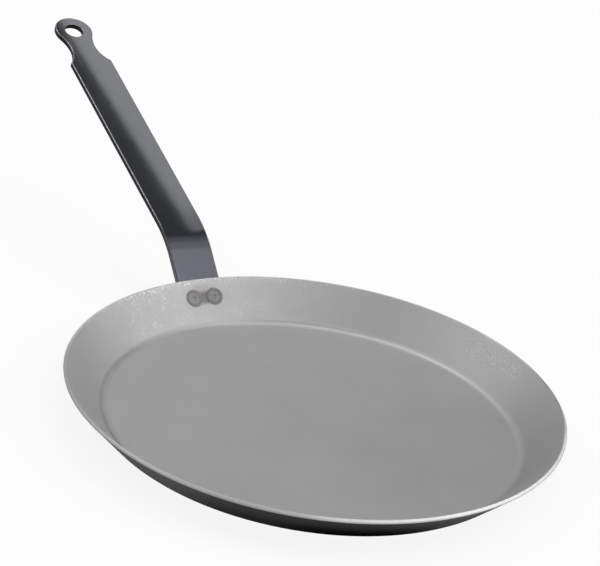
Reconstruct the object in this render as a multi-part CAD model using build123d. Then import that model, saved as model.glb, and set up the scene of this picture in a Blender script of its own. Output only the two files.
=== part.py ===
from build123d import *
import os
from math import cos, degrees, radians, sin, tan

# A crepe pan: a pressed sheet-steel pan with a low flared wall, and a bent strip
# handle that two spot welds hold against the outside of the wall.
# Lengths are in millimetres and angles in degrees. The origin is the centre of
# the flat underside, +X runs out over the handle and +Z points up.

# The pressed pan
pan_diameter = 240.0
pan_height = 19.3
wall_angle = 45.4
sheet_thickness = 1.8
corner_radius = 7.0
rim_round = 0.35

# The strip of the handle: its pad laps the wall down to the foot margin, which is
# left above the rounded corner. The bend is placed and sized on the upper face.
strip_width = 24.0
strip_thickness = 3.0
strip_round = 0.5
foot_margin = 4.4
foot_round = 5.0
rim_to_bend = 25.0
bend_radius = 52.5
handle_rise = 20.4

# The eye end of the handle
bend_to_eye = 158.6
eye_diameter = 21.0
hole_diameter = 10.2
hole_round = 0.3
waist_width = 14.8
waist_to_eye = 13.7
shoulder_to_eye = 25.8

# The spot welds: a nugget that bites into the strip, and inside the pan a low
# ring round the electrode's print, with a dimple at its centre
weld_pitch = 11.6
foot_to_weld = 8.3
nugget_bite = 1.5
ring_diameter = 8.8
ring_height = 0.25
print_diameter = 5.4
print_depth = 0.15
dimple_diameter = 1.9
dimple_depth = 0.2
weld_round = 0.07

# The wall seen from the side: up_wall runs up the slope, off_wall leaves the
# outer face square. The rounded rim reaches the pan's diameter and height, so
# its two corners stand a little further out before they are rounded.
slope = radians(wall_angle)
up_wall = Vector(cos(slope), 0, sin(slope))
off_wall = Vector(sin(slope), 0, -cos(slope))
rounded_away = rim_round * (sin(slope) + cos(slope) - 1)
rim_outer_x = pan_diameter / 2 + rounded_away
rim_inner_z = pan_height + rounded_away
rim_inner = Vector(rim_outer_x - sheet_thickness * sin(slope), 0, rim_inner_z)
rim_outer = rim_inner + off_wall * sheet_thickness

# The flat outer face of the wall ends where the corner's curve begins
corner_rise = corner_radius * (1 - cos(slope))
wall_length = (rim_outer.Z - corner_rise) / sin(slope)
pad_lap = wall_length - foot_margin

# The upper run of the handle and the bend that leads to it
rise = radians(handle_rise)
along_handle = Vector(cos(rise), 0, sin(rise))
above_handle = Vector(-sin(rise), 0, cos(rise))
bend_angle = wall_angle - handle_rise
bend_reach = bend_radius * tan(radians(bend_angle) / 2)
bend_corner = rim_outer + up_wall * rim_to_bend
bend_start = bend_corner - up_wall * bend_reach
bend_centre = bend_start + off_wall * bend_radius

# The strip is rolled to a shallow channel, hollow above, that curves across its
# width as the wall does at the rim. It touches the wall all along its middle.
channel_radius = rim_outer.X / sin(slope)

# The centre of a weld on the wall's inner face, before it is turned to its place
weld_centre = rim_inner - up_wall * (pad_lap - foot_to_weld)
weld_turn = degrees(weld_pitch / 2 / weld_centre.X)

# Working planes, with X along the strip and Z up off it: on the handle's upper
# face, and on the wall's inner face at the weld
handle_plane = Plane(origin=bend_corner, x_dir=along_handle, z_dir=above_handle)
weld_plane = Plane(origin=weld_centre, x_dir=up_wall, z_dir=-off_wall)


def round_corner(section, corner, radius):
    """The flat section with one of its corners rounded."""
    nearest = section.vertices().sort_by_distance(corner)[0]
    return fillet(nearest, radius)


def make_pan_body():
    """The base, the rounded corner and the flared wall, turned in one sheet."""
    knee_outer = rim_outer - up_wall * (rim_outer.Z / sin(slope))
    knee_inner = rim_inner - up_wall * ((rim_inner.Z - sheet_thickness) / sin(slope))
    floor_centre = Vector(0, 0, sheet_thickness)
    outline = Polyline(
        Vector(0, 0, 0), knee_outer, rim_outer, rim_inner, knee_inner, floor_centre, close=True
    )
    section = make_face(outline)
    section = round_corner(section, knee_outer, corner_radius)
    section = round_corner(section, knee_inner, corner_radius - sheet_thickness)
    section = round_corner(section, rim_outer, rim_round)
    section = round_corner(section, rim_inner, rim_round)
    return revolve(section, axis=Axis.Z)


def make_channel_section():
    """The strip cut across at the start of the bend: a thin arc, hollow above."""
    across = Plane(origin=bend_start, x_dir=(0, 1, 0), z_dir=up_wall)
    hollow = Pos(0, channel_radius) * Circle(channel_radius)
    back = Pos(0, channel_radius) * Circle(channel_radius + strip_thickness)
    width = Rectangle(strip_width, strip_width)
    return across * ((back - hollow) & width)


def make_pad(section):
    """The strip from its rounded foot on the wall to the start of the bend."""
    reach = rim_to_bend - bend_reach + pad_lap
    pad = extrude(section, amount=reach, dir=-up_wall)
    foot = pad.faces().sort_by(Axis(rim_outer, up_wall))[0]
    return fillet(foot.edges().filter_by(GeomType.LINE), foot_round)


def make_eye_outline():
    """What is kept of the strip beyond the bend: its full width up to two sharp
    shoulders, then a waist between hollow curves on each side, and the round eye."""
    half_strip = strip_width / 2
    half_waist = waist_width / 2
    eye_radius = eye_diameter / 2
    waist_x = bend_to_eye - waist_to_eye
    shoulder_x = bend_to_eye - shoulder_to_eye
    tip = (bend_to_eye + eye_radius, 0)
    # The hollow between waist and eye touches the eye's circle from outside.
    spare = waist_to_eye**2 + half_waist**2 - eye_radius**2
    hollow_radius = spare / (2 * (eye_radius - half_waist))
    touch_share = eye_radius / (eye_radius + hollow_radius)
    touch = (bend_to_eye - waist_to_eye * touch_share, (half_waist + hollow_radius) * touch_share)
    side = Polyline((0, strip_width), (shoulder_x, strip_width), (shoulder_x, half_strip))
    shoulder_hollow = TangentArc((waist_x, half_waist), (shoulder_x, half_strip), tangent=(-1, 0))
    eye_hollow = TangentArc((waist_x, half_waist), touch, tangent=(1, 0))
    eye = TangentArc(tip, touch, tangent=(0, 1))
    axis = Line((0, 0), tip)
    start = Line((0, 0), (0, strip_width))
    half = make_face([start, side, shoulder_hollow, eye_hollow, eye, axis])
    return half + mirror(half, about=Plane.XZ)


def is_rolled(face):
    """True for the strip's broad faces, which curve gently across its width. Its
    sides are flat or tightly curved."""
    if face.geom_type == GeomType.CYLINDER:
        return face.radius > channel_radius - strip_thickness
    return face.geom_type == GeomType.TORUS


def make_handle():
    """Pad, bend and upper run in one strip, with the hanging hole in its eye."""
    section = make_channel_section()
    bend = revolve(section, axis=Axis(bend_centre, (0, 1, 0)), revolution_arc=bend_angle)
    bend_end = bend.faces().sort_by(Axis(bend_corner, along_handle))[-1]
    run = extrude(bend_end, amount=bend_to_eye + eye_diameter, dir=along_handle)
    run = run & extrude(handle_plane * make_eye_outline(), amount=strip_width, both=True)
    strip = make_pad(section) + bend + run
    rolled = strip.faces().filter_by(is_rolled)
    sides = strip.faces() - rolled
    strip = fillet(rolled.edges() & sides.edges(), strip_round)
    hole = handle_plane * Pos(bend_to_eye, 0) * Circle(hole_diameter / 2)
    drill = extrude(hole, amount=strip_width, both=True)
    drilled = strip - drill
    return fillet(new_edges(strip, drill, combined=drilled), hole_round)


def make_weld_bore(turn):
    """The room that one nugget takes up in the wall and in the strip."""
    nugget_end = -sheet_thickness - nugget_bite
    circle = weld_plane * Pos(0, 0, nugget_end) * Circle(print_diameter / 2)
    return Rot(0, 0, turn) * extrude(circle, amount=ring_height - nugget_end)


def make_weld(turn, pan_body):
    """One spot weld: the nugget, and the ring with its print and dimple that
    stands on the wall's inner face."""
    nugget_end = -sheet_thickness - nugget_bite
    ring_radius = ring_diameter / 2
    print_radius = print_diameter / 2
    dimple_radius = dimple_diameter / 2
    print_floor = ring_height - print_depth
    dimple_floor = print_floor - dimple_depth
    outline = Polyline(
        (0, nugget_end),
        (print_radius, nugget_end),
        (print_radius, -ring_height),
        (ring_radius, -ring_height),
        (ring_radius, ring_height),
        (print_radius, ring_height),
        (print_radius, print_floor),
        (dimple_radius, print_floor),
        (dimple_radius, dimple_floor),
        (0, dimple_floor),
        close=True,
    )
    section = make_face(outline)
    section = round_corner(section, Vector(ring_radius, ring_height), weld_round)
    section = round_corner(section, Vector(print_radius, ring_height), weld_round)
    section = round_corner(section, Vector(dimple_radius, print_floor), weld_round)
    upright = revolve(Plane.XZ * section, axis=Axis.Z)
    placed = Rot(0, 0, turn) * weld_plane.location * upright
    return placed - pan_body


weld_turns = {"weld_left": weld_turn, "weld_right": -weld_turn}
bores = [make_weld_bore(turn) for turn in weld_turns.values()]
parts = {"pan_body": make_pan_body() - bores, "handle": make_handle() - bores}
for name, turn in weld_turns.items():
    parts[name] = make_weld(turn, parts["pan_body"])

os.makedirs("parts", exist_ok=True)
for name, part in parts.items():
    export_step(part, f"parts/{name}.step")
    print(name, f"{part.volume:.1f} mm3", part.bounding_box())
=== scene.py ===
"""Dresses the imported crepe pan: blasted steel inside, dark outside, a blue-black strip handle.

Every length is in metres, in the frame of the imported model: the origin is the
centre of the pan's flat underside, +X runs out over the handle and +Z points up.
"""

import logging
import math
from dataclasses import dataclass
from enum import Enum
from typing import Any

import bmesh
import bpy
from mathutils import Matrix, Quaternion, Vector

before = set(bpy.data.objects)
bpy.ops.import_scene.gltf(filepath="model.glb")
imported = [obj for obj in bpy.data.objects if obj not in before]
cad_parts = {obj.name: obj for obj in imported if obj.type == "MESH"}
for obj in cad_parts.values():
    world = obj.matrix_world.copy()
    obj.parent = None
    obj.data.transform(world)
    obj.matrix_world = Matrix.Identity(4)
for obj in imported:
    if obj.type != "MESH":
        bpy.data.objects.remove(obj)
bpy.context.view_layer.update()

MM = 0.001
WALL_SLOPE = math.radians(45.4)
RUN_SLOPE = math.radians(20.4)
log = logging.getLogger("crepe_pan")

Colour = tuple[float, float, float]
Point = tuple[float, float, float]
Socket = bpy.types.NodeSocket

WHITE: Colour = (1.0, 1.0, 1.0)
LINE_OF_SIGHT: Point = (0.0, 0.0, 1.0)


class Piece(str, Enum):
    """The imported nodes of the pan."""

    PAN_BODY = "pan_body"
    HANDLE = "handle"
    WELD_LEFT = "weld_left"
    WELD_RIGHT = "weld_right"


class Blend(str, Enum):
    """The ways in which two colours are put together."""

    MIX = "MIX"
    MULTIPLY = "MULTIPLY"


@dataclass(frozen=True)
class Fade:
    """A soft step from nothing at start to its strength at end, which may be the lower of the two."""

    start: float
    end: float
    strength: float = 1.0


@dataclass(frozen=True)
class Noise:
    """Noise in space: the length of its largest forms, its finer layers and how strong they are."""

    feature: float
    layers: float = 2.0
    roughness: float = 0.6


def opaque(colour: Colour) -> tuple[float, float, float, float]:
    """Returns the colour with full alpha, as colour sockets want it."""
    return (*colour, 1.0)


def looking(place: Point, aim: Point, lean: float) -> Quaternion:
    """Returns the turn that looks from a place at an aim, leaning by some degrees."""
    level = (Vector(place) - Vector(aim)).to_track_quat("Z", "Y")
    return level @ Quaternion(LINE_OF_SIGHT, math.radians(lean))


class Value:
    """A number that varies over a surface, ready for sums with other numbers."""

    def __init__(self, tree: "Tree", socket: Socket) -> None:
        """Wraps an output socket of the tree."""
        self.tree = tree
        self.socket = socket

    def __add__(self, other: "Value | float") -> "Value":
        """Returns self + other."""
        return self.tree.sum("ADD", self, other)

    def __radd__(self, other: float) -> "Value":
        """Returns other + self."""
        return self.tree.sum("ADD", other, self)

    def __sub__(self, other: "Value | float") -> "Value":
        """Returns self - other."""
        return self.tree.sum("SUBTRACT", self, other)

    def __rsub__(self, other: float) -> "Value":
        """Returns other - self."""
        return self.tree.sum("SUBTRACT", other, self)

    def __mul__(self, other: "Value | float") -> "Value":
        """Returns self * other."""
        return self.tree.sum("MULTIPLY", self, other)

    def __rmul__(self, other: float) -> "Value":
        """Returns other * self."""
        return self.tree.sum("MULTIPLY", other, self)

    def __truediv__(self, other: "Value | float") -> "Value":
        """Returns self / other."""
        return self.tree.sum("DIVIDE", self, other)

    def __rtruediv__(self, other: float) -> "Value":
        """Returns other / self."""
        return self.tree.sum("DIVIDE", other, self)

    def root(self) -> "Value":
        """Returns the square root."""
        return self.tree.sum("SQRT", self)

    def size(self) -> "Value":
        """Returns the value without its sign."""
        return self.tree.sum("ABSOLUTE", self)

    def or_more(self, other: "Value | float") -> "Value":
        """Returns whichever of the two is larger."""
        return self.tree.sum("MAXIMUM", self, other)

    def fade(self, step: Fade) -> "Value":
        """Puts a soft step on the value.

        Args:
            step: Where the step starts and ends, and its strength.

        Returns:
            0 at the step's start, and its strength at its end.
        """
        settings = {"interpolation_type": "SMOOTHSTEP"}
        inputs = {"Value": self, "From Min": step.start, "From Max": step.end, "To Max": step.strength}
        made = self.tree.node("ShaderNodeMapRange", settings, inputs)
        return Value(self.tree, made.outputs["Result"])


class Tree:
    """The nodes of one material, or of the world."""

    MIX_SHARE = 0
    MIX_FIRST = 6
    MIX_SECOND = 7
    MIX_COLOUR = 2

    def __init__(self, nodes: bpy.types.NodeTree) -> None:
        """Empties the tree."""
        self.nodes = nodes
        nodes.nodes.clear()

    def node(
        self,
        kind: str,
        settings: dict[str, Any] | None = None,
        inputs: dict[str | int, Any] | None = None,
    ) -> bpy.types.Node:
        """Adds a node.

        Args:
            kind: The node's type.
            settings: Its own settings, which are set first.
            inputs: The value or link of each socket, by name or number.

        Returns:
            The new node.
        """
        made = self.nodes.nodes.new(kind)
        for name, value in (settings or {}).items():
            setattr(made, name, value)
        for name, value in (inputs or {}).items():
            source = value.socket if isinstance(value, Value) else value
            if isinstance(source, Socket):
                self.nodes.links.new(source, made.inputs[name])
            else:
                made.inputs[name].default_value = source
        return made

    def sum(self, operation: str, first: Value | float, second: Value | float = 0.0) -> Value:
        """Adds a sum of one or two numbers.

        Args:
            operation: The operation of the Math node.
            first: Its first number.
            second: Its second number, which some operations leave unused.

        Returns:
            The result.
        """
        inputs = {0: first, 1: second}
        made = self.node("ShaderNodeMath", {"operation": operation}, inputs)
        return Value(self, made.outputs[0])

    def place(self) -> Socket:
        """Returns the point on the piece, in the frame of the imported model."""
        return self.node("ShaderNodeTexCoord").outputs["Object"]

    def parts_of(self, vector: Socket) -> tuple[Value, Value, Value]:
        """Returns the x, y and z of a vector."""
        split = self.node("ShaderNodeSeparateXYZ", None, {"Vector": vector})
        return tuple(Value(self, split.outputs[axis]) for axis in "XYZ")

    def noise(self, place: Socket, noise: Noise) -> Value:
        """Adds noise in space.

        Args:
            place: The point at which the noise is read.
            noise: Its size and its finer layers.

        Returns:
            The noise, about 0.5 in the middle.
        """
        inputs = {
            "Vector": place,
            "Scale": 1 / noise.feature,
            "Detail": noise.layers,
            "Roughness": noise.roughness,
        }
        made = self.node("ShaderNodeTexNoise", {"noise_dimensions": "3D"}, inputs)
        return Value(self, made.outputs[0])

    def blend(
        self,
        share: Value | float,
        first: Socket | Colour,
        second: Socket | Colour,
        way: Blend = Blend.MIX,
    ) -> Socket:
        """Puts two colours together.

        Args:
            share: How much of the second colour is taken.
            first: The colour where the share is 0.
            second: The colour that is mixed in or multiplied by.
            way: How the colours meet.

        Returns:
            The colour.
        """
        settings = {"data_type": "RGBA", "blend_type": way.value}
        ends = [opaque(end) if isinstance(end, tuple) else end for end in (first, second)]
        inputs = {self.MIX_SHARE: share, self.MIX_FIRST: ends[0], self.MIX_SECOND: ends[1]}
        return self.node("ShaderNodeMix", settings, inputs).outputs[self.MIX_COLOUR]

    def scaled(self, colour: Socket | Colour, level: Value) -> Socket:
        """Makes a colour brighter or darker.

        Args:
            colour: The colour at a level of 1.
            level: The level.

        Returns:
            The colour times the level.
        """
        inputs = {"X": level, "Y": level, "Z": level}
        grey = self.node("ShaderNodeCombineXYZ", None, inputs).outputs["Vector"]
        return self.blend(1.0, colour, grey, Blend.MULTIPLY)

    def seen(self) -> tuple[Value, Value]:
        """Tells apart the rays that find a surface.

        Returns:
            1 on rays from the camera, and 1 on rays that a mirror or glass sends on.
        """
        rays = self.node("ShaderNodeLightPath")
        kinds = ("Is Camera Ray", "Is Glossy Ray", "Is Transmission Ray")
        straight, mirrored, through = (Value(self, rays.outputs[kind]) for kind in kinds)
        return straight, mirrored.or_more(through)

    def bump(self, height: Value, depth: float) -> Socket:
        """Returns the normals of relief that is that deep where the height is 1."""
        inputs = {"Height": height, "Distance": depth, "Strength": 1.0}
        return self.node("ShaderNodeBump", None, inputs).outputs["Normal"]

    def surface(self, inputs: dict[str | int, Any]) -> Socket:
        """Returns a Principled shader with these inputs."""
        return self.node("ShaderNodeBsdfPrincipled", None, inputs).outputs[0]

    def mixed(self, share: Value, first: Socket, second: Socket) -> Socket:
        """Returns two shaders mixed, with that share of the second."""
        return self.node("ShaderNodeMixShader", None, {0: share, 1: first, 2: second}).outputs[0]


class Finish:
    """A material for a piece, built from its place on the piece."""

    name = "finish"

    def dress(self, piece: bpy.types.Object) -> None:
        """Puts the finish on a piece.

        Args:
            piece: The piece, whose materials are taken off.
        """
        material = bpy.data.materials.get(self.name) or self.make()
        piece.data.materials.clear()
        piece.data.materials.append(material)

    def make(self) -> bpy.types.Material:
        """Makes the material.

        Returns:
            The new material.
        """
        material = bpy.data.materials.new(self.name)
        material.use_nodes = True
        tree = Tree(material.node_tree)
        surface = self.paint(tree)
        tree.node("ShaderNodeOutputMaterial", None, {"Surface": surface})
        return material

    def paint(self, tree: Tree) -> Socket:
        """Returns the surface shader, which each finish builds in its own way."""
        raise NotImplementedError


@dataclass(frozen=True)
class Band:
    """A soft stripe, full out to one distance from its middle and gone at another."""

    middle: float
    full: float
    gone: float
    strength: float = 1.0

    def on(self, value: Value) -> Value:
        """Returns the stripe's strength at the value."""
        return (value - self.middle).size().fade(Fade(self.gone, self.full, self.strength))


@dataclass(frozen=True)
class Spot:
    """A point on the pan's sheet, and where it lies.

    Its radius is its distance from the pan's axis. Its forward is 1 at the
    handle's side and -1 opposite, and its leftward 1 at the left of that line and
    -1 at the right. Its up_wall is how far it is up the slope of the wall, 0 at
    the rim, and its depth how far it is below the inner face.
    """

    place: Socket
    x: Value
    y: Value
    radius: Value
    forward: Value
    leftward: Value
    up_wall: Value
    depth: Value


@dataclass(frozen=True)
class Sector:
    """A part of the way round the pan, between soft ends."""

    forward: Fade
    leftward: Fade

    def at(self, spot: Spot) -> Value:
        """Returns 1 in the part, or its strength, and 0 outside it."""
        return spot.forward.fade(self.forward) * spot.leftward.fade(self.leftward)


@dataclass(frozen=True)
class Facing:
    """The part of the pan that faces one way, in degrees from the handle towards the left."""

    way: float
    full: float
    gone: float

    def at(self, spot: Spot) -> Value:
        """Measures how far a point belongs to the part.

        Args:
            spot: The point.

        Returns:
            1 within the full angle of the way, 0 past the angle where it is gone.
        """
        way = math.radians(self.way)
        along = spot.forward * math.cos(way) + spot.leftward * math.sin(way)
        return along.fade(Fade(math.cos(math.radians(self.gone)), math.cos(math.radians(self.full))))


@dataclass(frozen=True)
class WallShape:
    """The pan's wall as the finishes need it, seen from the side."""

    rim_x: float = 118.863 * MM
    rim_z: float = 19.445 * MM
    slope: float = WALL_SLOPE
    thickness: float = 1.8 * MM

    def read(self, tree: Tree) -> Spot:
        """Finds where a point lies on the sheet.

        Args:
            tree: The material's nodes.

        Returns:
            The point.
        """
        place = tree.place()
        x, y, z = tree.parts_of(place)
        radius = (x * x + y * y).root()
        beyond = radius - self.rim_x
        above = z - self.rim_z
        up_wall = beyond * math.cos(self.slope) + above * math.sin(self.slope)
        off_wall = beyond * math.sin(self.slope) - above * math.cos(self.slope)
        depth = off_wall.or_more(self.thickness - z)
        return Spot(place, x, y, radius, x / radius, y / radius, up_wall, depth)


@dataclass(frozen=True)
class WeldPlace:
    """Where the spot welds are. The sign of y tells them apart."""

    x: float = 111.758 * MM
    y: float = 5.797 * MM
    z: float = 12.39 * MM
    turn: float = math.radians(2.9695)
    slope: float = WALL_SLOPE

    def distance(self, tree: Tree, place: Socket) -> Value:
        """Measures how far a point is from the axis of the nearer weld.

        Args:
            tree: The material's nodes.
            place: The point.

        Returns:
            The distance.
        """
        x, y, z = tree.parts_of(place)
        across = y.size() - self.y
        out = x - self.x
        over = z - self.z
        sink = math.sin(self.slope)
        along = (
            out * (-sink * math.cos(self.turn))
            + across * (-sink * math.sin(self.turn))
            + over * math.cos(self.slope)
        )
        square = out * out + across * across + over * over - along * along
        return square.or_more(0.0).root()


@dataclass(frozen=True)
class Inside:
    """The blasted inside: lightly mottled and darker on the floor than on the wall, with a painted
    sheen on the floor towards the handle and the left.
    """

    colour: Colour = (0.44, 0.44, 0.446)
    level: float = 0.89
    grain_share: float = 0.14
    cloud_share: float = 0.14
    floor: Fade = Fade(101 * MM, 98 * MM)
    floor_darkening: float = 0.115
    sheen_forward: Fade = Fade(-70 * MM, 60 * MM, 0.07)
    sheen_leftward: Fade = Fade(-40 * MM, 80 * MM, 0.05)

    def level_at(self, spot: Spot, grain: Value, cloud: Value) -> Value:
        """Finds how bright the steel is.

        Args:
            spot: The point.
            grain: The fine noise there.
            cloud: The broad noise there.

        Returns:
            The level, by which its colour is scaled.
        """
        # painted sheen: the floor is lit up towards the handle and towards the left
        sheen = spot.x.fade(self.sheen_forward) + spot.y.fade(self.sheen_leftward)
        mottle = grain * self.grain_share + cloud * self.cloud_share
        return self.level + mottle - spot.radius.fade(self.floor) * (self.floor_darkening - sheen)


@dataclass(frozen=True)
class Corner:
    """Painted shade, a painted highlight and a smoother crease along the rounded corner between floor
    and wall.
    """

    shade: Band = Band(101.5 * MM, 0.4 * MM, 1.4 * MM, 0.24)
    shade_part: Sector = Sector(Fade(0.55, 0.8), Fade(0.0, -0.45))
    left_shade: Band = Band(99.3 * MM, 0.4 * MM, 2.3 * MM, 0.11)
    left_shade_part: Sector = Sector(Fade(0.0, 0.3), Fade(0.3, 0.6))
    highlight_line: Band = Band(99.7 * MM, 0.2 * MM, 2.4 * MM)
    highlight_shift: float = 0.8 * MM
    highlight_part: Sector = Sector(Fade(-0.5, -0.1), Fade(0.1, -0.2))
    highlight_level: float = 0.1
    highlight_grain: float = 0.35
    highlight_forward: float = 0.5
    crease: Band = Band(100.7 * MM, 0.0, 1.7 * MM, 0.2)
    crease_part: Fade = Fade(-0.75, -0.3)
    dull_part: Sector = Sector(Fade(0.3, 0.6, 0.6), Fade(0.1, -0.2))
    left_shade_dulling: float = 0.3

    def darkening(self, spot: Spot) -> Value:
        """Finds how much the painted shade in the corner, on the far right and on the left, darkens
        the steel.

        Args:
            spot: The point.

        Returns:
            What they take from its level.
        """
        # painted shade just above the crease on the far right
        shade = self.shade.on(spot.radius) * self.shade_part.at(spot)
        # painted shade in the corner on the left
        left_shade = self.left_shade.on(spot.radius) * self.left_shade_part.at(spot)
        return shade + left_shade

    def painted_highlight(self, spot: Spot, grain: Value) -> Value:
        """Finds the painted highlight along the corner, a line of bare steel's colour a little askew.

        Args:
            spot: The point.
            grain: The fine noise there.

        Returns:
            The share of the painted highlight.
        """
        # painted highlight: a bright line along the corner on the right
        highlight_line = self.highlight_line.on(spot.radius + spot.forward * self.highlight_shift) * self.highlight_part.at(spot)
        strength = self.highlight_level + grain * self.highlight_grain
        return highlight_line * strength * (1 + spot.forward * self.highlight_forward)

    def polish(self, spot: Spot) -> Value:
        """Returns how much smoother than the rest the crease is."""
        dulling = self.dull_part.at(spot) + self.left_shade_part.at(spot) * self.left_shade_dulling
        return self.crease.on(spot.radius) * (spot.forward.fade(self.crease_part) - dulling)


@dataclass(frozen=True)
class CutRim:
    """The rim's cut face, its level round the pan painted light and shade: painted shade on the left,
    the right and behind the handle, and a painted highlight in front.
    """

    colour: Colour = (0.64, 0.64, 0.64)
    face: Fade = Fade(0.1 * MM, 0.4 * MM)
    worn_wall_and_highlight: Fade = Fade(-1.0 * MM, -0.35 * MM, 0.8)
    outer_darkening: Fade = Fade(0.8 * MM, 1.8 * MM, 0.3)
    level: float = 0.8
    grain_share: float = 0.4
    left: Sector = Sector(Fade(0.67, 0.5), Fade(0.45, 0.6))
    left_shading: float = 0.13
    left_more_shading: Fade = Fade(-0.35, 0.0, 0.13)
    front: Sector = Sector(Fade(-0.52, -0.65, 0.12), Fade(0.55, 0.4))
    right: Band = Band(-0.3, 0.08, 0.35, 0.4)
    right_side: Fade = Fade(-0.6, -0.8)
    behind_handle: Fade = Fade(0.8, 0.95, 0.2)

    def level_at(self, spot: Spot, grain: Value) -> Value:
        """Finds how bright the cut face is.

        Args:
            spot: The point.
            grain: The fine noise there.

        Returns:
            The level, by which its colour is scaled.
        """
        # painted shade on the left, the right and behind the handle, and a painted highlight in front
        left = self.left.at(spot) * (self.left_shading + spot.forward.fade(self.left_more_shading))
        right = self.right.on(spot.forward) * spot.leftward.fade(self.right_side)
        round_pan = 1 - left + self.front.at(spot) - right - spot.forward.fade(self.behind_handle)
        mottle = self.level + grain * self.grain_share
        return round_pan * mottle * (1 - spot.depth.fade(self.outer_darkening))

    def lay(self, tree: Tree, spot: Spot, grain: Value, colour: Socket) -> Socket:
        """Returns the steel's colour with the cut face laid over it, and over a worn band just below
        the rim that also widens the rim's painted highlight.
        """
        # the worn band below the rim is also a painted highlight that widens the rim's bright line
        share = spot.depth.fade(self.face).or_more(spot.up_wall.fade(self.worn_wall_and_highlight))
        return tree.blend(share, colour, tree.scaled(self.colour, self.level_at(spot, grain)))


@dataclass(frozen=True)
class Specks:
    """Painted glints and dull specks on the wall, near the handle and far away on the right."""

    glint_colour: Colour = (0.9, 0.9, 0.9)
    pit: Colour = (0.26, 0.26, 0.26)
    speck: Noise = Noise(0.65 * MM, roughness=0.7)
    patch: Noise = Noise(11 * MM)
    in_patch: Fade = Fade(0.42, 0.68)
    wall: Fade = Fade(-24 * MM, -20 * MM)
    near_handle: Fade = Fade(0.66, 0.95)
    near_rim: Fade = Fade(-4.5 * MM, -0.5 * MM)
    rim_share: float = 0.45
    rim_left: Fade = Fade(-0.4, 0.1, 0.3)
    patch_share: float = 0.16
    patch_left: Fade = Fade(-0.4, 0.1, 0.36)
    far: Band = Band(0.09, 0.1, 0.27)
    far_right: Fade = Fade(-0.8, -0.9)
    far_height: Fade = Fade(-21 * MM, -8 * MM)
    far_share: float = 0.3
    far_patches: float = 0.7
    glint: Fade = Fade(0.54, 0.68)
    glint_everywhere: float = 0.03
    far_glint: Fade = Fade(0.56, 0.64, 0.5)
    dull: Fade = Fade(0.43, 0.36)
    dull_share: float = 0.3
    far_dull_share: float = 0.8

    def strewn(self, tree: Tree, spot: Spot) -> tuple[Value, Value]:
        """Strews the specks.

        Args:
            tree: The material's nodes.
            spot: The point.

        Returns:
            How strong the painted glint and how dull the speck at the point are.
        """
        patches = tree.noise(spot.place, self.patch).fade(self.in_patch)
        rim = spot.up_wall.fade(self.near_rim) * (self.rim_share + spot.leftward.fade(self.rim_left))
        below = patches * (self.patch_share + spot.leftward.fade(self.patch_left))
        near = spot.forward.fade(self.near_handle) * (rim + below) * spot.up_wall.fade(self.wall)
        far = self.far.on(spot.forward) * spot.leftward.fade(self.far_right)
        far = far * spot.up_wall.fade(self.far_height) * (self.far_share + patches * self.far_patches)
        noise = tree.noise(spot.place, self.speck)
        # painted glints, near the handle and far away on the right
        glint = noise.fade(self.glint) * (near + self.glint_everywhere)
        dull = noise.fade(self.dull) * (near * self.dull_share + far * self.far_dull_share)
        return glint + noise.fade(self.far_glint) * far, dull


@dataclass(frozen=True)
class HeatTint:
    """The welding heat's tints: dark rings and a dark bridge, with straw above and around them."""

    dark: Colour = (0.13, 0.125, 0.125)
    dark_share: float = 0.75
    straw: Colour = (0.33, 0.30, 0.28)
    ragged: Noise = Noise(2.5 * MM)
    ring: Fade = Fade(5.4 * MM, 4.6 * MM)
    ring_ragged: float = 0.8 * MM
    halo: Fade = Fade(14 * MM, 7 * MM, 0.12)
    halo_ragged: float = 4 * MM
    bridge_x: Band = Band(111.7 * MM, 1.3 * MM, 3.3 * MM)
    bridge_y: Band = Band(0.0, 4.95 * MM, 6.05 * MM)
    above_x: Band = Band(114.2 * MM, 1.0 * MM, 4.0 * MM, 0.4)
    above_y: Band = Band(0.0, 1.1 * MM, 7.15 * MM)
    welds: WeldPlace = WeldPlace()

    def lay(self, tree: Tree, spot: Spot, colour: Socket) -> Socket:
        """Lays the tints over the steel's colour.

        Args:
            tree: The material's nodes.
            spot: The point.
            colour: The steel's colour there.

        Returns:
            The tinted colour.
        """
        near_weld = self.welds.distance(tree, spot.place)
        ragged = tree.noise(spot.place, self.ragged)
        ring = (near_weld + ragged * self.ring_ragged).fade(self.ring)
        bridge = self.bridge_y.on(spot.y) * self.bridge_x.on(spot.x)
        halo = (near_weld + ragged * self.halo_ragged).fade(self.halo)
        above = self.above_y.on(spot.y) * self.above_x.on(spot.x)
        colour = tree.blend(halo + above, colour, self.straw)
        return tree.blend(ring.or_more(bridge) * self.dark_share, colour, self.dark)


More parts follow.
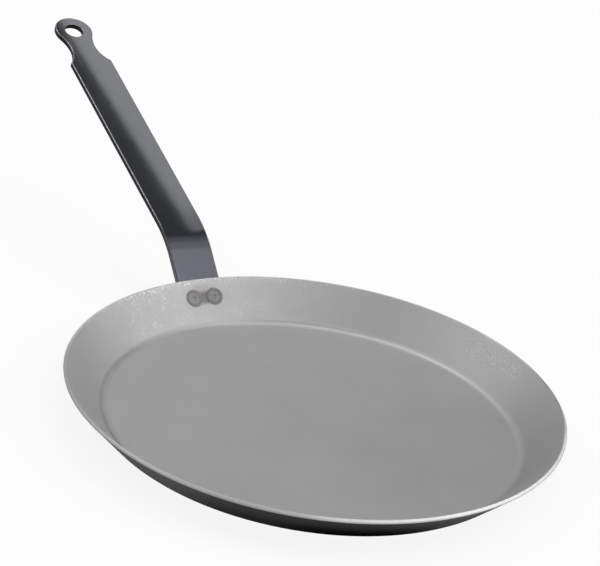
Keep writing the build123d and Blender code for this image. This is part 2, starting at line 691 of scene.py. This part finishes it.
@dataclass(frozen=True)
class Outside:
    """The dark outside, its tone partly painted shade: darker towards the base with painted shade,
    most of all in front, and lighter on the left with painted light.
    """

    # a dark tone that is partly painted shade
    colour: Colour = (0.046, 0.046, 0.048)
    black: Colour = (0.003, 0.003, 0.003)
    black_rough: float = 0.9
    past_cut: Fade = Fade(1.5 * MM, 1.75 * MM)
    below_rim: Fade = Fade(-0.2 * MM, -1.3 * MM)
    base_shade: Fade = Fade(-2 * MM, -24 * MM)
    level: float = 1.2
    least_level: float = 0.04
    cloud_share: float = 0.4
    grain_share: float = 0.4
    front: Facing = Facing(152.0, 0.0, 37.0)
    front_shading: float = 0.8
    left: Facing = Facing(90.0, 11.5, 36.9)
    left_light: float = 0.3
    left_less_shade: float = 0.6
    shaded_front: Facing = Facing(161.0, 0.0, 23.0)

    def share(self, spot: Spot) -> Value:
        """Returns 1 on the outside and 0 inside and on the rim."""
        return spot.depth.fade(self.past_cut) * spot.up_wall.fade(self.below_rim)

    def dark(self, tree: Tree, spot: Spot, grain: Value, cloud: Value) -> Socket:
        """Finds the colour of the outside, with its painted shade and painted light.

        Args:
            tree: The material's nodes.
            spot: The point.
            grain: The fine noise there.
            cloud: The broad noise there.

        Returns:
            The colour.
        """
        left = self.left.at(spot)
        # painted shade, darker towards the base and less so on the left
        base_shade = spot.up_wall.fade(self.base_shade) * (1 - left * self.left_less_shade)
        # painted shade in front and painted light on the left
        round_pan = self.level + left * self.left_light - self.front.at(spot) * self.front_shading
        level = round_pan + cloud * self.cloud_share + grain * self.grain_share - base_shade
        return tree.scaled(self.colour, level.or_more(self.least_level))

    def black_shade_share(self, spot: Spot) -> Value:
        """Returns how far the matt black painted shade covers the outside, most of all low down in
        front.
        """
        return spot.up_wall.fade(self.base_shade) * self.shaded_front.at(spot)

    def black_shade(self, tree: Tree) -> Socket:
        """Returns the matt black shader that is painted in as shade."""
        inputs = {
            "Base Color": opaque(self.black),
            "Roughness": self.black_rough,
            "Specular IOR Level": 0.0,
        }
        return tree.surface(inputs)


@dataclass(frozen=True)
class BlastedSteel(Finish):
    """The pan: bright blasted steel inside, a dark outside and a cut rim."""

    name: str = "blasted_steel"
    wall: WallShape = WallShape()
    inside: Inside = Inside()
    corner: Corner = Corner()
    rim: CutRim = CutRim()
    specks: Specks = Specks()
    heat: HeatTint = HeatTint()
    outside: Outside = Outside()
    grain: Noise = Noise(0.9 * MM, 3.0, 0.65)
    grain_depth: float = 0.12 * MM
    cloud: Noise = Noise(45 * MM, 3.0, 0.5)
    rough: float = 0.56
    rough_grain: float = 0.12
    rough_outside: float = 0.3
    glint_polish: float = 0.15

    def paint(self, tree: Tree) -> Socket:
        """Builds the steel's shader.

        Args:
            tree: The material's nodes.

        Returns:
            The surface shader.
        """
        spot = self.wall.read(tree)
        grain = tree.noise(spot.place, self.grain)
        cloud = tree.noise(spot.place, self.cloud)
        glint, dull = self.specks.strewn(tree, spot)
        outer = self.outside.share(spot)
        # the corner's painted shade darkens the steel
        level = self.inside.level_at(spot, grain, cloud) - self.corner.darkening(spot)
        colour = tree.scaled(self.inside.colour, level)
        # painted glints
        colour = tree.blend(glint, colour, self.specks.glint_colour)
        colour = tree.blend(dull, colour, self.specks.pit)
        # painted highlight along the corner, in the rim's colour
        colour = tree.blend(self.corner.painted_highlight(spot, grain), colour, self.rim.colour)
        colour = self.heat.lay(tree, spot, colour)
        colour = self.rim.lay(tree, spot, grain, colour)
        # the outside's dark tone, partly painted shade
        colour = tree.blend(outer, colour, self.outside.dark(tree, spot, grain, cloud))
        rough = self.rough + grain * self.rough_grain - glint * self.glint_polish
        rough = rough - self.corner.polish(spot) * (1 - outer) + outer * self.rough_outside
        inputs = {
            "Base Color": colour,
            "Metallic": 1.0,
            "Roughness": rough,
            "Normal": tree.bump(grain, self.grain_depth),
        }
        # matt black painted shade low down in front
        base_shade = outer * self.outside.black_shade_share(spot)
        return tree.mixed(base_shade, tree.surface(inputs), self.outside.black_shade(tree))


@dataclass(frozen=True)
class BlueBlack(Finish):
    """The strip handle: smooth blue-black steel with rubbed edges that also carry a painted highlight,
    and dull cut sides.
    """

    name: str = "blue_black"
    skin: Colour = (0.012, 0.013, 0.0155)
    blued: Colour = (0.024, 0.033, 0.046)
    rubbed_highlight: Colour = (0.5, 0.51, 0.53)
    scale: Colour = (0.012, 0.012, 0.013)
    gleam: Colour = (0.9, 0.93, 1.0)
    specular: float = 0.69
    scale_specular: float = 0.08
    grain: Noise = Noise(0.8 * MM, 3.0)
    grain_depth: float = 0.01 * MM
    cloud: Noise = Noise(18 * MM, 3.0, 0.55)
    bend: Fade = Fade(117 * MM, 149 * MM)
    skin_level: float = 0.75
    skin_cloud: float = 0.5
    scale_level: float = 0.5
    edge_in: Fade = Fade(0.35, 0.55)
    edge_out: Fade = Fade(0.99, 0.95)
    edge_wear_highlight: float = 0.3
    edge_grain: Fade = Fade(0.4, 0.6, 0.4)
    side: Fade = Fade(0.4, 0.1)
    side_wear: float = 0.04
    side_grain: float = 0.12
    rough: float = 0.07
    rough_cloud: float = 0.06
    rough_grain: float = 0.02
    scale_rough: float = 0.45
    scale_rough_grain: float = 0.2
    dulled_from: Fade = Fade(137 * MM, 141 * MM, 0.33)
    dulled_to: Fade = Fade(165 * MM, 141 * MM)

    def paint(self, tree: Tree) -> Socket:
        """Builds the handle's shader.

        Args:
            tree: The material's nodes.

        Returns:
            The surface shader.
        """
        place = tree.place()
        x, _, _ = tree.parts_of(place)
        past_bend = x.fade(self.bend)
        facing = self.facing(tree, past_bend)
        side = facing.fade(self.side)
        grain = tree.noise(place, self.grain)
        cloud = tree.noise(place, self.cloud)
        # rubbed edges of the upper run, which also carry a painted highlight
        edge = facing.fade(self.edge_in) * facing.fade(self.edge_out)
        worn_highlight = edge * past_bend * (self.edge_wear_highlight + grain.fade(self.edge_grain))
        worn_highlight = worn_highlight + side * (1 - past_bend) * (self.side_wear + grain * self.side_grain)
        colour = tree.blend(past_bend, self.blued, self.skin)
        colour = tree.scaled(colour, self.skin_level + cloud * self.skin_cloud)
        normal = tree.bump(grain, self.grain_depth)
        face = {
            "Base Color": tree.blend(worn_highlight, colour, self.rubbed_highlight),
            "Metallic": worn_highlight,
            "Roughness": self.rough + cloud * self.rough_cloud + grain * self.rough_grain,
            "Specular IOR Level": self.specular,
            "Specular Tint": opaque(self.gleam),
            "Normal": normal,
        }
        cut = {
            "Base Color": tree.scaled(self.scale, self.scale_level + grain),
            "Roughness": self.scale_rough + grain * self.scale_rough_grain,
            "Specular IOR Level": self.scale_specular,
            "Normal": normal,
        }
        dulled = x.fade(self.dulled_from) * x.fade(self.dulled_to)
        share = (side * past_bend).or_more(dulled)
        return tree.mixed(share, tree.surface(face), tree.surface(cut))

    def facing(self, tree: Tree, past_bend: Value) -> Value:
        """Finds which way the strip's skin faces.

        Args:
            tree: The material's nodes.
            past_bend: 0 on the pad and 1 on the upper run.

        Returns:
            1 on the strip's upper face, 0 on its sides.
        """
        out, _, up = tree.parts_of(tree.node("ShaderNodeTexCoord").outputs["Normal"])
        slope = WALL_SLOPE + past_bend * (RUN_SLOPE - WALL_SLOPE)
        return up * tree.sum("COSINE", slope) - out * tree.sum("SINE", slope)


@dataclass(frozen=True)
class WeldSteel(Finish):
    """The spot welds: darkened rings with a paler print and a dark dimple."""

    name: str = "heated_weld"
    ring: Colour = (0.128, 0.125, 0.125)
    crest: Colour = (0.24, 0.24, 0.24)
    print_floor: Colour = (0.155, 0.153, 0.153)
    dimple: Colour = (0.14, 0.135, 0.135)
    in_print: Fade = Fade(2.9 * MM, 2.4 * MM)
    in_dimple: Fade = Fade(1.1 * MM, 0.7 * MM)
    crest_share: float = 3.2
    grain: Noise = Noise(0.5 * MM, 3.0)
    grain_depth: float = 0.05 * MM
    mottle: Noise = Noise(1.6 * MM)
    level: float = 0.55
    grain_share: float = 0.5
    mottle_share: float = 0.4
    rough: float = 0.38
    rough_grain: float = 0.12
    welds: WeldPlace = WeldPlace()

    def paint(self, tree: Tree) -> Socket:
        """Builds the welds' shader.

        Args:
            tree: The material's nodes.

        Returns:
            The surface shader.
        """
        place = tree.place()
        reach = self.welds.distance(tree, place)
        grain = tree.noise(place, self.grain)
        mottle = tree.noise(place, self.mottle)
        in_print = reach.fade(self.in_print)
        colour = tree.blend(in_print, self.ring, self.print_floor)
        colour = tree.blend(in_print * (1 - in_print) * self.crest_share, colour, self.crest)
        colour = tree.blend(reach.fade(self.in_dimple), colour, self.dimple)
        level = self.level + grain * self.grain_share + mottle * self.mottle_share
        inputs = {
            "Base Color": tree.scaled(colour, level),
            "Metallic": 1.0,
            "Roughness": self.rough + grain * self.rough_grain,
            "Normal": tree.bump(grain, self.grain_depth),
        }
        return tree.surface(inputs)


@dataclass(frozen=True)
class PaleFloor(Finish):
    """The studio floor: white to the camera, with the pan's soft shadow on it."""

    name: str = "pale_floor"
    colour: Colour = (0.85, 0.85, 0.85)
    rough: float = 0.9
    glow_share: float = 0.88

    def paint(self, tree: Tree) -> Socket:
        """Builds the floor's shader.

        Args:
            tree: The material's nodes.

        Returns:
            The surface shader.
        """
        inputs = {
            "Base Color": opaque(self.colour),
            "Roughness": self.rough,
            "Specular IOR Level": 0.0,
        }
        glow = tree.node("ShaderNodeEmission", None, {"Color": opaque(WHITE), "Strength": 1.0})
        straight, mirrored = tree.seen()
        share = straight.or_more(mirrored) * self.glow_share
        return tree.mixed(share, tree.surface(inputs), glow.outputs[0])


@dataclass
class Pan:
    """The pressed pan."""

    finish: BlastedSteel = BlastedSteel()

    def dress(self) -> None:
        """Puts the steel on the pan body."""
        self.finish.dress(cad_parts[Piece.PAN_BODY.value])
        log.info("%s: %s", Piece.PAN_BODY.value, self.finish.name)


@dataclass
class StripHandle:
    """The bent strip with the hanging eye."""

    finish: BlueBlack = BlueBlack()

    def dress(self) -> None:
        """Puts the blue-black finish on the strip."""
        self.finish.dress(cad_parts[Piece.HANDLE.value])
        log.info("%s: %s", Piece.HANDLE.value, self.finish.name)


@dataclass
class SpotWelds:
    """The two spot welds that hold the handle."""

    finish: WeldSteel = WeldSteel()
    pieces: tuple[Piece, Piece] = (Piece.WELD_LEFT, Piece.WELD_RIGHT)

    def dress(self) -> None:
        """Puts the heat-darkened steel on both welds."""
        for piece in self.pieces:
            self.finish.dress(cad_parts[piece.value])
            log.info("%s: %s", piece.value, self.finish.name)


@dataclass(frozen=True)
class SoftBox:
    """A rectangle of soft light, turned by some degrees about the line to the point it lights."""

    name: str
    place: Point
    width: float
    height: float
    brightness: float
    turn: float = 0.0
    aim: Point = (0.0, 0.0, 0.0)

    def hang(self) -> None:
        """Makes the lamp, as bright as a surface of that brightness looks."""
        lamp = bpy.data.lights.new(self.name, "AREA")
        lamp.shape = "RECTANGLE"
        lamp.size = self.width
        lamp.size_y = self.height
        lamp.energy = self.brightness * math.pi * self.width * self.height
        box = bpy.data.objects.new(self.name, lamp)
        box.rotation_mode = "QUATERNION"
        box.rotation_quaternion = looking(self.place, self.aim, self.turn)
        box.location = self.place
        bpy.context.scene.collection.objects.link(box)


@dataclass
class Studio:
    """The pale floor, the soft lamps and the even light around them."""

    floor_span: float = 12.0
    floor_drop: float = 0.1 * MM
    around: float = 0.25
    backdrop: Fade = Fade(0.15, 0.04)
    lamps: tuple[SoftBox, ...] = (
        SoftBox("right_softbox", (-0.69, -0.795, 1.053), 0.85, 0.85, 0.95, -24.0),
        SoftBox("right_wide_softbox", (-0.716, -0.825, 1.092), 1.3, 1.3, 0.7, -24.0),
        SoftBox("right_widest_softbox", (-0.742, -0.854, 1.131), 1.68, 1.68, 0.65, -24.0),
        SoftBox("right_side_softbox", (-0.276, -1.297, 0.895), 0.9, 0.9, 1.2),
        SoftBox("back_softbox", (0.675, -0.393, 1.33), 1.04, 0.6, 2.6, -7.6, (0.675, -0.393, 0.0)),
        SoftBox("left_softbox", (0.8, 0.8, 1.131), 0.8, 0.8, 3.3),
        SoftBox("front_softbox", (-0.98, 0.566, 1.131), 1.0, 0.8, 1.2),
    )

    def lay_floor(self) -> None:
        """Lays the floor just under the pan."""
        mesh = bpy.data.meshes.new("floor")
        shape = bmesh.new()
        drop = Matrix.Translation((0.0, 0.0, -self.floor_drop))
        half_span = self.floor_span / 2
        bmesh.ops.create_grid(shape, x_segments=1, y_segments=1, size=half_span, matrix=drop)
        shape.to_mesh(mesh)
        shape.free()
        floor = bpy.data.objects.new("floor", mesh)
        bpy.context.scene.collection.objects.link(floor)
        PaleFloor().dress(floor)

    def light(self) -> None:
        """Hangs the lamps and lights the world evenly, white where the camera sees it."""
        for lamp in self.lamps:
            lamp.hang()
            log.info("lamp %s", lamp.name)
        world = bpy.data.worlds.new("studio")
        world.use_nodes = True
        bpy.context.scene.world = world
        tree = Tree(world.node_tree)
        straight, mirrored = tree.seen()
        _, _, height = tree.parts_of(tree.node("ShaderNodeTexCoord").outputs["Generated"])
        white = straight.or_more(mirrored * height.fade(self.backdrop))
        inputs = {"Color": opaque(WHITE), "Strength": self.around + white * (1 - self.around)}
        background = tree.node("ShaderNodeBackground", None, inputs)
        tree.node("ShaderNodeOutputWorld", None, {"Surface": background.outputs[0]})


@dataclass(frozen=True)
class PhotoCamera:
    """The photograph's view of the pan. The sensor and the lens are in millimetres."""

    place: Point = (-0.827589, 0.58013, 0.538353)
    aim: Point = (0.137084, -0.07379, 0.0)
    lean: float = 9.1811
    sensor: float = 36.0
    lens: float = 144.0
    nearest: float = 0.05
    furthest: float = 100.0

    def set_up(self) -> None:
        """Makes the camera and gives it to the scene."""
        camera = bpy.data.cameras.new("photo_camera")
        camera.lens = self.lens
        camera.sensor_width = self.sensor
        camera.clip_start = self.nearest
        camera.clip_end = self.furthest
        holder = bpy.data.objects.new("photo_camera", camera)
        holder.rotation_mode = "QUATERNION"
        holder.rotation_quaternion = looking(self.place, self.aim, self.lean)
        holder.location = self.place
        bpy.context.scene.collection.objects.link(holder)
        bpy.context.scene.camera = holder


def main() -> None:
    """Dresses the pan and sets up the studio."""
    logging.basicConfig(level=logging.INFO)
    PhotoCamera().set_up()
    Pan().dress()
    StripHandle().dress()
    SpotWelds().dress()
    studio = Studio()
    studio.lay_floor()
    studio.light()
    bpy.context.scene.view_settings.view_transform = "Standard"


if __name__ == "__main__":
    main()
